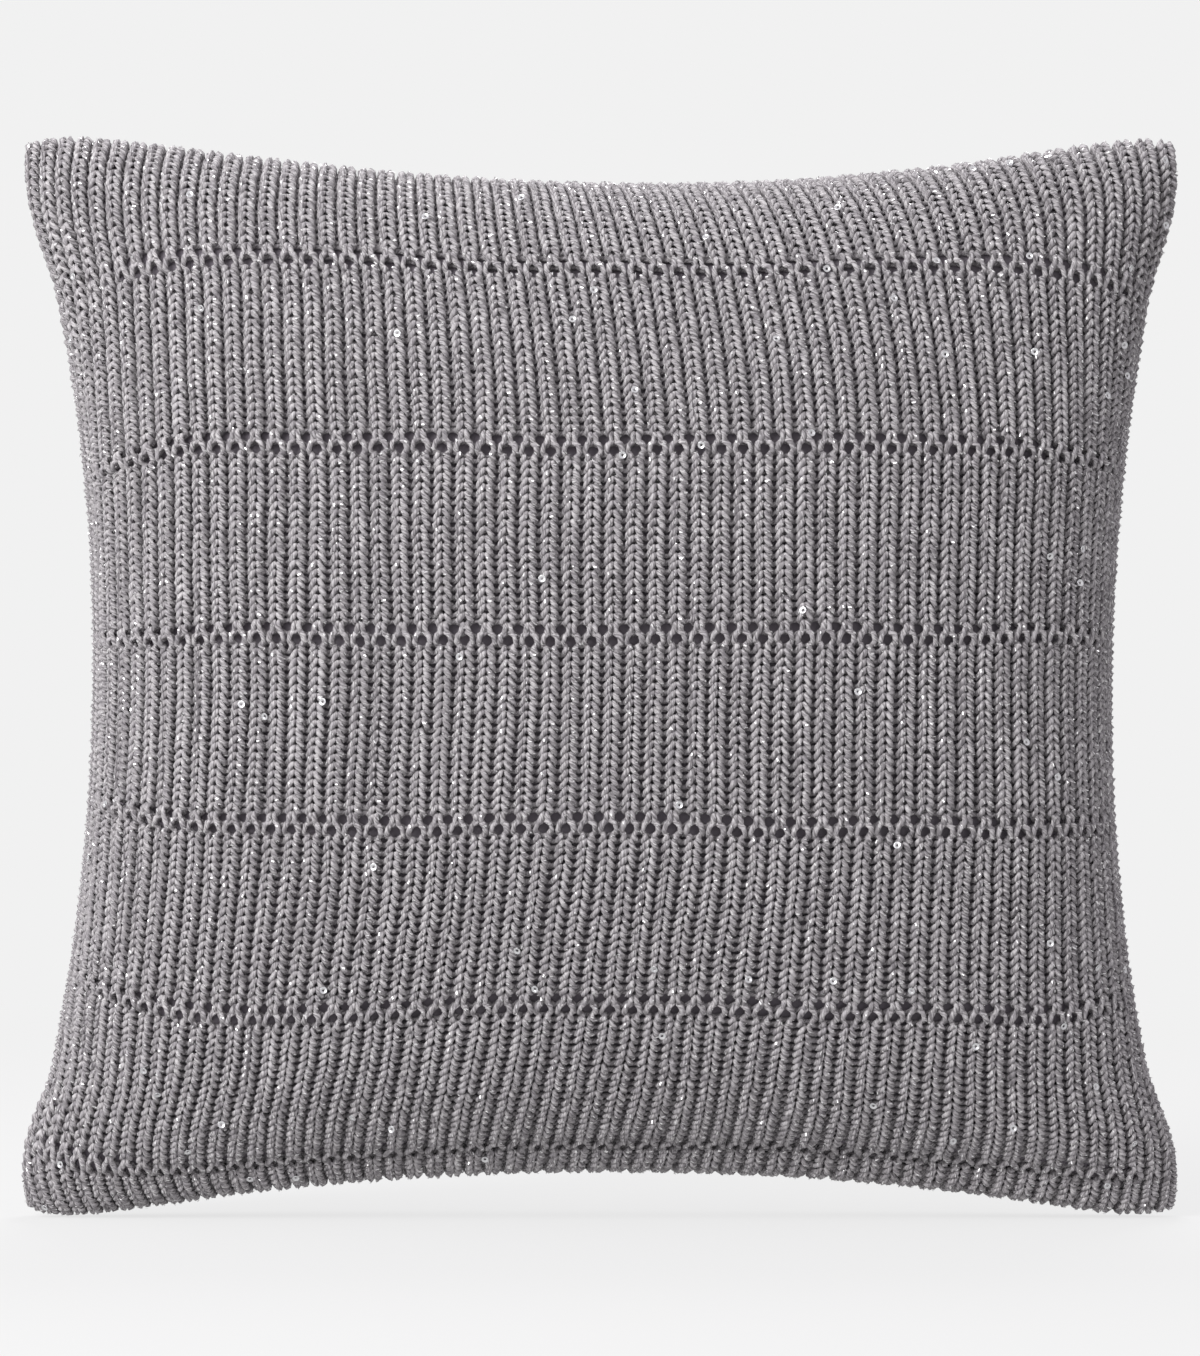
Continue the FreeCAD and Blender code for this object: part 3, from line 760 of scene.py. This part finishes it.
def metal_material(name, light, dark, roughness, scale, metallic=0.95):
    """Metal or metallised film with fine scuffs."""
    material, tree, shader = new_material(name, roughness)
    shader.inputs["Metallic"].default_value = metallic
    scuffs = add_noise(tree, scale, detail=4.0, rough=0.7)
    tint(tree, shader, scuffs.outputs["Fac"], [(0.35, dark), (0.6, light)])
    rough = tree.nodes.new("ShaderNodeMapRange")
    rough.inputs["To Min"].default_value = roughness * 0.7
    rough.inputs["To Max"].default_value = roughness * 1.5
    tree.links.new(scuffs.outputs["Fac"], rough.inputs["Value"])
    tree.links.new(rough.outputs["Result"], shader.inputs["Roughness"])
    return material


def nylon_material():
    """The zip's teeth and stops: dark nylon with a slight grain."""
    material, tree, shader = new_material("dark_nylon", roughness=0.4)
    grain = add_noise(tree, scale=1500, detail=2.0, rough=0.5)
    tint(tree, shader, grain.outputs["Fac"], [(0.3, (0.10, 0.095, 0.10)), (0.7, (0.17, 0.165, 0.17))])
    add_bump(tree, shader, grain.outputs["Fac"], strength=0.2, distance=0.0001)
    return material


# ---- lining, insert, seams and label ----


def make_shell(name, outer, inner):
    """A thin closed sheet between two grids of points."""
    rows, columns = outer.shape[:2]
    index = np.arange(rows * columns).reshape(rows, columns)
    top = grid_faces(index)
    low = top[:, ::-1] + rows * columns
    rim = np.concatenate([index[0, :-1], index[:-1, -1], index[-1, :0:-1], index[:0:-1, 0]])
    following = np.roll(rim, -1)
    edge = np.stack([rim, rim + rows * columns, following + rows * columns, following], axis=-1)
    vertices = np.concatenate([outer.reshape(-1, 3), inner.reshape(-1, 3)])
    return make_mesh(name, vertices, np.concatenate([top, low, edge]))


def build_lining():
    """The dark lining just inside the knit, open along the zip."""
    cloth = cloth_material("dark_lining_cloth", (0.42, 0.375, 0.425), (0.27, 0.24, 0.275), 2200, 0.7)
    outer = Carrier(BASE_INSET + LINING_DEPTH).points[::LINING_STEP, ::LINING_STEP]
    inner = Carrier(BASE_INSET + LINING_DEPTH + LINING_THICKNESS).points[::LINING_STEP, ::LINING_STEP]
    top = len(outer) // 2
    for side, rows in (("front", slice(0, top)), ("back", slice(top + 1, None))):
        piece = make_shell(f"lining_cloth_{side}", outer[rows, 1:-1], inner[rows, 1:-1])
        dress(piece, cloth, "dark_lining", f"lining_{side}")


def clear_of_zip(points):
    """Points lifted off the zip where they would touch it."""
    along = smooth((ZIP_REACH - np.abs(points[:, 0])) / ZIP_REACH_FADE)
    beside = smooth((ZIP_SIDE - np.abs(points[:, 1])) / ZIP_SIDE_FADE)
    floor = INSERT_FLOOR + (ZIP_TOP - INSERT_FLOOR) * (along * beside)
    points[:, 2] = np.maximum(points[:, 2], floor)
    return points


def coordinates(mesh):
    """The mesh's vertices as an array."""
    points = np.empty(3 * len(mesh.vertices))
    mesh.vertices.foreach_get("co", points)
    return points.reshape(-1, 3)


def swell(piece, cap):
    """Blow the piece up by cloth simulation. No point moves further than cap."""
    start = coordinates(piece.data)
    cloth = piece.modifiers.new("swell", "CLOTH").settings
    cloth.quality = CLOTH_QUALITY
    cloth.mass = CLOTH_MASS
    cloth.use_pressure = True
    cloth.uniform_pressure_force = PRESSURE
    cloth.effector_weights.gravity = 0
    scene = bpy.context.scene
    for frame_number in range(1, SWELL_FRAMES + 1):
        scene.frame_set(frame_number)
    graph = bpy.context.evaluated_depsgraph_get()
    swollen = coordinates(piece.evaluated_get(graph).data)
    piece.modifiers.clear()
    scene.frame_set(1)
    move = swollen - start
    length = np.linalg.norm(move, axis=1, keepdims=True)
    points = clear_of_zip(start + move * np.minimum(1, cap / np.maximum(length, TINY)))
    piece.data.vertices.foreach_set("co", points.astype(np.float32).ravel())
    piece.data.update()


def apply_modifiers(piece):
    """The piece's mesh replaced by what its modifiers make of it."""
    graph = bpy.context.evaluated_depsgraph_get()
    mesh = bpy.data.meshes.new_from_object(piece.evaluated_get(graph))
    piece.modifiers.clear()
    piece.data = mesh
    piece.data.shade_smooth()


def build_insert():
    """The white cushion inside, swollen by simulation."""
    columns, rows = INSERT_GRID
    across, wrap = np.meshgrid(np.linspace(-1, 1, columns), np.linspace(-1, 3, rows))
    form = form_point(across, wrap, INSERT_INSET)
    index = np.arange(across.size).reshape(across.shape)
    case = make_mesh("insert_cushion", clear_of_zip(form.reshape(-1, 3)), grid_faces(index))
    remesh = case.modifiers.new("even_mesh", "REMESH")
    remesh.mode = "VOXEL"
    remesh.voxel_size = INSERT_VOXEL
    apply_modifiers(case)
    swell(case, INSERT_CAP)
    case.modifiers.new("rounder", "SUBSURF").levels = 1
    apply_modifiers(case)
    ticking = cloth_material("white_ticking_cloth", (0.80, 0.79, 0.76), (0.60, 0.59, 0.56), 1500)
    dress(case, ticking, "white_ticking", "insert_case_front", "insert_case_back")
    return case


def build_filling(case):
    """The fibre inside the case, a little smaller than it."""
    filling = add_object("insert_filling", case.data.copy())
    normals = np.array([tuple(vertex.normal) for vertex in filling.data.vertices])
    points = coordinates(filling.data) - normals * FILLING_GAP
    filling.data.vertices.foreach_set("co", points.astype(np.float32).ravel())
    filling.data.materials.clear()
    fibre = fibre_material("white_fibre_fill", (0.90, 0.90, 0.89), (0.70, 0.70, 0.69), 200)
    dress(filling, fibre, "white_fibre", "insert_fill")


def thread_piece(name, points, radius, material, slot, node):
    """A thread along a path, replacing one CAD node."""
    normals = np.broadcast_to(np.array([0.0, -1.0, 0.0]), points.shape)
    vertices, faces, _ = tube(points[None], normals[None], radius, THREAD_SIDES)
    dress(make_mesh(name, vertices, faces), material, slot, node)


def build_insert_seam(case):
    """A row of thread along the cushion's edge, on the three sides away from the zip."""
    tree = KDTree(len(case.data.vertices))
    for number, vertex in enumerate(case.data.vertices):
        tree.insert(vertex.co, number)
    tree.balance()
    side = np.linspace(INSERT_SEAM_START, 1, INSERT_SEAM_POINTS)
    top = np.linspace(-1, 1, INSERT_SEAM_POINTS)[1:-1]
    across = np.concatenate([np.full(len(side), -1.0), top, np.full(len(side), 1.0)])
    wrap = np.concatenate([side, np.full(len(top), 1.0), side[::-1]])
    goal = form_point(across, wrap, INSERT_INSET - INSERT_CAP / 2)
    points = np.array([tuple(tree.find(point)[0]) for point in goal])
    points[:, 1] = 0
    for _ in range(INSERT_SEAM_ROUNDS):
        points[1:-1] = (points[:-2] + 2 * points[1:-1] + points[2:]) / 4
    thread = fibre_material("white_sewing_thread", (0.82, 0.81, 0.79), (0.62, 0.61, 0.59), 4000)
    thread_piece(
        "insert_edge_seam", points, INSERT_SEAM_THREAD, thread, "white_ticking", "insert_seam_thread"
    )


def build_side_seams(carrier):
    """Overcast stitches that join the front's and the back's edges at each side."""
    thread = fibre_material("grey_sewing_thread", (0.42, 0.405, 0.415), (0.24, 0.23, 0.235), 4000)
    rows = np.linspace(SEAM_START, SEAM_END, SEAM_TURNS * SEAM_POINTS)
    turn = np.arange(len(rows)) * 2 * math.pi / SEAM_POINTS
    for side, across in (("left", -1.0), ("right", 1.0)):
        edge, _ = carrier.at(np.full(len(rows), across), rows)
        points = edge - np.array([across * SEAM_INSET, 0, 0])
        points[:, 0] += across * SEAM_RADIUS * np.cos(turn)
        points[:, 1] += SEAM_RADIUS * np.sin(turn)
        name = f"side_seam_overcast_{side}"
        thread_piece(name, points, SEAM_THREAD, thread, "grey_thread", f"side_seam_thread_{side}")


def build_label():
    """The blank care label, a slightly curled strip of white satin tape."""
    columns, rows = LABEL_GRID
    x = np.linspace(LABEL_LEFT, LABEL_RIGHT, columns)
    x, y = np.meshgrid(x, np.linspace(LABEL_NEAR, LABEL_FAR, rows))
    curl = (y - LABEL_NEAR) / (LABEL_FAR - LABEL_NEAR)
    unevenness, pace = LABEL_WAVES
    height = LABEL_HEIGHT + LABEL_CURL * curl**2 * (1 + unevenness * np.sin(x * pace))
    top = np.stack([x, y, height + LABEL_THICKNESS], axis=-1)
    low = np.stack([x, y, height], axis=-1)
    piece = make_shell("care_label_tape", top, low)
    satin = cloth_material("white_label_satin", (0.88, 0.88, 0.87), (0.72, 0.72, 0.71), 3000, 0.5)
    dress(piece, satin, "white_ticking", "care_label")


# ---- sequins and metallic thread ----


def facing_frames(normals, tilt):
    """Each normal tipped at random, by about tilt in radians, after two directions across it."""
    tipped = unit(normals + rng.normal(0, tilt, normals.shape))
    aside = unit(np.cross(tipped, rng.normal(0, 1, normals.shape)))
    return aside, np.cross(tipped, aside), tipped


def ring_section():
    """A sequin's section, as radius and height: a shallow cup with a hole, of even thickness."""
    top = [
        (SEQUIN_HOLE, 0.0),
        (0.6 * SEQUIN_RADIUS, 0.0),
        (0.85 * SEQUIN_RADIUS, 0.00012),
        (SEQUIN_RADIUS, 0.0003),
    ]
    return top + [(radius, height - SEQUIN_THICKNESS) for radius, height in reversed(top)]


def make_sequins(carrier, name, face, count):
    """Ring sequins scattered over one face, more of them towards the bottom and +X."""
    across = []
    along = []
    while len(across) < count:
        x, y, keep = rng.uniform(-1, 1, 3)
        inside = abs(x) < SEQUIN_EDGE and abs(y) < SEQUIN_EDGE
        if inside and keep < SEQUIN_SLOPE * (x - y) + SEQUIN_LEVEL:
            across.append(x)
            along.append(y)
    across = np.array(across)
    along = np.array(along)
    points, normals = carrier.at(across, along if face < 0 else 2 - along)
    lift = rng.uniform(*SEQUIN_LIFTS, (count, 1))
    aside, upward, outward = facing_frames(normals, SEQUIN_TILT)
    centre = points + normals * lift
    angle = np.arange(SEQUIN_SIDES) * 2 * math.pi / SEQUIN_SIDES
    angle = angle[None, :, None]
    swing = np.cos(angle) * aside[:, None] + np.sin(angle) * upward[:, None]
    loops = []
    for radius, height in ring_section():
        loops.append(centre[:, None] + radius * swing + height * outward[:, None])
    vertices = np.stack(loops, axis=1)
    index = np.arange(vertices.size // 3).reshape(vertices.shape[:3])
    following = np.roll(index, -1, axis=1)
    corners = (index, np.roll(index, -1, axis=2), np.roll(following, -1, axis=2), following)
    faces = np.stack(corners, axis=-1)
    return make_mesh(name, vertices.reshape(-1, 3), faces.reshape(-1, 4))


BOX_CORNERS = np.array([(x, y, z) for x in (-1, 1) for y in (-1, 1) for z in (-1, 1)], float)
BOX_FACES = np.array([(0, 1, 3, 2), (4, 6, 7, 5), (0, 4, 5, 1), (2, 3, 7, 6), (0, 2, 6, 4), (1, 5, 7, 3)])


def foil_boxes(points, normals, count):
    """Short flat lengths of metallic thread, lying on the outside of the yarn's visible legs."""
    tangent = unit(np.gradient(points, axis=1))
    course = rng.integers(0, points.shape[0], count)
    leg = rng.choice(FOIL_SAMPLES, count) + SAMPLES * rng.integers(0, RIBS, count)
    here = points[course, leg]
    outward = normals[course, leg]
    forward = tangent[course, leg]
    outward = unit(outward - (outward * forward).sum(1, keepdims=True) * forward)
    aside = np.cross(forward, outward)
    swing = rng.uniform(-FOIL_SWING, FOIL_SWING, (count, 1))
    facing = np.cos(swing) * outward + np.sin(swing) * aside
    centre = here + facing * (YARN_RADIUS + FOIL_LIFT)
    facing = unit(facing + rng.normal(0, FOIL_TILT, facing.shape))
    turn = rng.uniform(*FOIL_TURNS, (count, 1))
    long = np.cos(turn) * forward + np.sin(turn) * np.cross(facing, forward)
    long = unit(long - (long * facing).sum(1, keepdims=True) * facing)
    wide = np.cross(facing, long)
    size = rng.uniform(*FOIL_SIZES, (count, 1)) * FOIL_LENGTH / 2
    axes = np.stack([long * size, wide * FOIL_WIDTH / 2, facing * FOIL_THICKNESS / 2], axis=1)
    return centre[:, None] + np.einsum("ck,nkd->ncd", BOX_CORNERS, axes)


def make_foil(name, boxes):
    """One mesh of many small boxes."""
    corners = np.concatenate(boxes)
    start = len(BOX_CORNERS) * np.arange(len(corners))
    faces = start[:, None, None] + BOX_FACES[None]
    return make_mesh(name, corners.reshape(-1, 3), faces.reshape(-1, 4), smooth_shading=False)


# ---- camera, light and floor ----

PICTURE_SHAPE = 1.13  # height to width
VIEW_WIDTH = 0.5062  # what the picture takes in at the pillow, in metres
VIEW_HEIGHT = VIEW_WIDTH * PICTURE_SHAPE
CAMERA_DISTANCE = 2.4
CAMERA_LEVEL = 0.2272
SENSOR = 36.0
BACKDROP = (0.88, 0.88, 0.88, 1)
FILL_COLOUR = (0.95, 0.925, 0.97, 1)
FILL_STRENGTH = 0.555
KEY_POWER = 46
RIM_POWER = 14
FLOOR_COLOUR = (0.86, 0.86, 0.86, 1)
FLOOR_RADIUS = 40
FLOOR_BOUNCE = 0.5  # how brightly its glow lights the pillow, as a share of what the camera sees
FADE_START = 0.3  # distances from the pillow between which the floor turns from lit to glowing
FADE_END = 1.6
FADE_LEAST = 0.82  # how much of it glows close to the pillow


def add_camera():
    """Level with the pillow's middle and far away."""
    data = bpy.data.cameras.new("camera")
    data.sensor_width = SENSOR
    data.lens = SENSOR * CAMERA_DISTANCE / VIEW_HEIGHT
    camera = add_object("camera", data)
    camera.location = (0, -CAMERA_DISTANCE, CAMERA_LEVEL)
    camera.rotation_euler = (math.pi / 2, 0, 0)
    bpy.context.scene.camera = camera


def add_area_light(name, place, target, size, power):
    """A round, soft white light that points at its target."""
    data = bpy.data.lights.new(name, "AREA")
    data.shape = "DISK"
    data.size = size
    data.energy = power
    light = add_object(name, data)
    light.location = place
    x, y, z = (goal - start for goal, start in zip(target, place))
    tilt = math.pi / 2 + math.atan2(z, math.hypot(x, y))
    light.rotation_euler = (tilt, 0, math.atan2(-x, y))


def add_world():
    """An even pale backdrop, and a soft fill light from all round."""
    world = bpy.data.worlds.new("studio")
    bpy.context.scene.world = world
    world.use_nodes = True
    tree = world.node_tree
    tree.nodes.clear()
    seen = tree.nodes.new("ShaderNodeBackground")
    seen.inputs["Color"].default_value = BACKDROP
    fill = tree.nodes.new("ShaderNodeBackground")
    fill.inputs["Color"].default_value = FILL_COLOUR
    fill.inputs["Strength"].default_value = FILL_STRENGTH
    path = tree.nodes.new("ShaderNodeLightPath")
    mix = tree.nodes.new("ShaderNodeMixShader")
    output = tree.nodes.new("ShaderNodeOutputWorld")
    tree.links.new(path.outputs["Is Camera Ray"], mix.inputs["Fac"])
    tree.links.new(fill.outputs[0], mix.inputs[1])
    tree.links.new(seen.outputs[0], mix.inputs[2])
    tree.links.new(mix.outputs[0], output.inputs["Surface"])


def add_floor():
    """A pale round floor that fades into the backdrop's colour away from the pillow."""
    bpy.ops.mesh.primitive_circle_add(vertices=96, radius=FLOOR_RADIUS, fill_type="NGON")
    floor = bpy.context.object
    floor.name = "floor"
    material, tree, shader = new_material("pale_floor", roughness=0.9)
    shader.inputs["Base Color"].default_value = FLOOR_COLOUR
    place = tree.nodes.new("ShaderNodeTexCoord")
    length = tree.nodes.new("ShaderNodeVectorMath")
    length.operation = "LENGTH"
    tree.links.new(place.outputs["Object"], length.inputs[0])
    fade = tree.nodes.new("ShaderNodeMapRange")
    fade.inputs["From Min"].default_value = FADE_START
    fade.inputs["From Max"].default_value = FADE_END
    fade.inputs["To Min"].default_value = FADE_LEAST
    tree.links.new(length.outputs["Value"], fade.inputs["Value"])
    glow = tree.nodes.new("ShaderNodeEmission")
    glow.inputs["Color"].default_value = BACKDROP
    path = tree.nodes.new("ShaderNodeLightPath")
    strength = tree.nodes.new("ShaderNodeMapRange")
    strength.inputs["To Min"].default_value = FLOOR_BOUNCE
    tree.links.new(path.outputs["Is Camera Ray"], strength.inputs["Value"])
    tree.links.new(strength.outputs["Result"], glow.inputs["Strength"])
    mix = tree.nodes.new("ShaderNodeMixShader")
    tree.links.new(fade.outputs["Result"], mix.inputs["Fac"])
    tree.links.new(shader.outputs[0], mix.inputs[1])
    tree.links.new(glow.outputs[0], mix.inputs[2])
    output = tree.nodes["Material Output"]
    tree.links.new(mix.outputs[0], output.inputs["Surface"])
    floor.data.materials.append(material)


# ---- build ----


def build_knit(carrier):
    """The whole knit, in pieces of a few courses each, and the metallic thread on it."""
    yarn = yarn_material()
    last = last_course(carrier)
    first = FIRST_COURSE - int(carrier.back_length / COURSE)
    foil = {}
    for number, start in enumerate(range(first, last, PIECE_COURSES), start=1):
        courses = np.arange(start, min(start + PIECE_COURSES, last), dtype=float)
        piece, points, normals = knit_piece(carrier, f"knit_courses_{number}", courses)
        nodes = ("knitted_cover",) if number == 1 else ()
        dress(piece, yarn, "grey_knit", *nodes)
        side = "front" if start > 0 else "back"
        group = f"metallic_thread_{side}_{number % FOIL_PIECES + 1}"
        foil.setdefault(group, []).append(foil_boxes(points, normals, FOIL_PER_COURSE * len(courses)))
    shine = metal_material("metallic_thread", (1.0, 0.99, 0.98), (0.80, 0.79, 0.80), 0.28, 900, 0.6)
    for group, boxes in foil.items():
        dress(make_foil(group, boxes), shine, "silver_sequin")


def last_course(carrier):
    """The first course number that no longer fits on the front."""
    courses = np.arange(2 * BANDS[-1])
    return int(courses[drop_of(courses.astype(float)) > carrier.front_length - LAST_GAP][0])


def build_sequins(carrier):
    """The ring sequins of both faces."""
    film = metal_material("sequin_film", (1.0, 1.0, 1.0), (0.80, 0.80, 0.83), 0.3, 1400, 0.75)
    for side, face, count in (("front", -1, SEQUINS_FRONT), ("back", 1, SEQUINS_BACK)):
        piece = make_sequins(carrier, f"ring_sequins_{side}", face, count)
        dress(piece, film, "silver_sequin", f"sequins_{side}")


def finish_cad_nodes():
    """Better materials for the CAD pieces that stay."""
    tape = cloth_material("grey_zip_tape", (0.20, 0.19, 0.20), (0.10, 0.095, 0.10), 1800)
    thread = fibre_material("grey_sewing_thread", (0.32, 0.31, 0.32), (0.18, 0.17, 0.18), 4000)
    nylon = nylon_material()
    metal = metal_material("zip_nickel", (0.60, 0.60, 0.62), (0.42, 0.42, 0.44), 0.3, 1200)
    chosen = {
        "grey_tape": tape,
        "grey_thread": thread,
        "grey_nylon": nylon,
        "zip_metal": metal,
    }
    for part in frame["record"]["subparts"]:
        material = chosen.get(part["material_slot"])
        if material is not None:
            node = frame["nodes"][part["node"]]
            node.data.materials.clear()
            node.data.materials.append(material)


carrier = Carrier(BASE_INSET)
build_knit(carrier)
build_side_seams(carrier)
build_sequins(carrier)
build_lining()
cushion = build_insert()
build_filling(cushion)
build_insert_seam(cushion)
build_label()
finish_cad_nodes()
add_floor()
add_world()
add_camera()
add_area_light("key", place=(-1.3, -1.5, 1.3), target=(0, 0, 0.22), size=1.5, power=KEY_POWER)
add_area_light("rim", place=(0.1, 0.9, 1.6), target=(0, 0, 0.4), size=0.8, power=RIM_POWER)
bpy.context.scene.view_settings.view_transform = "Standard"
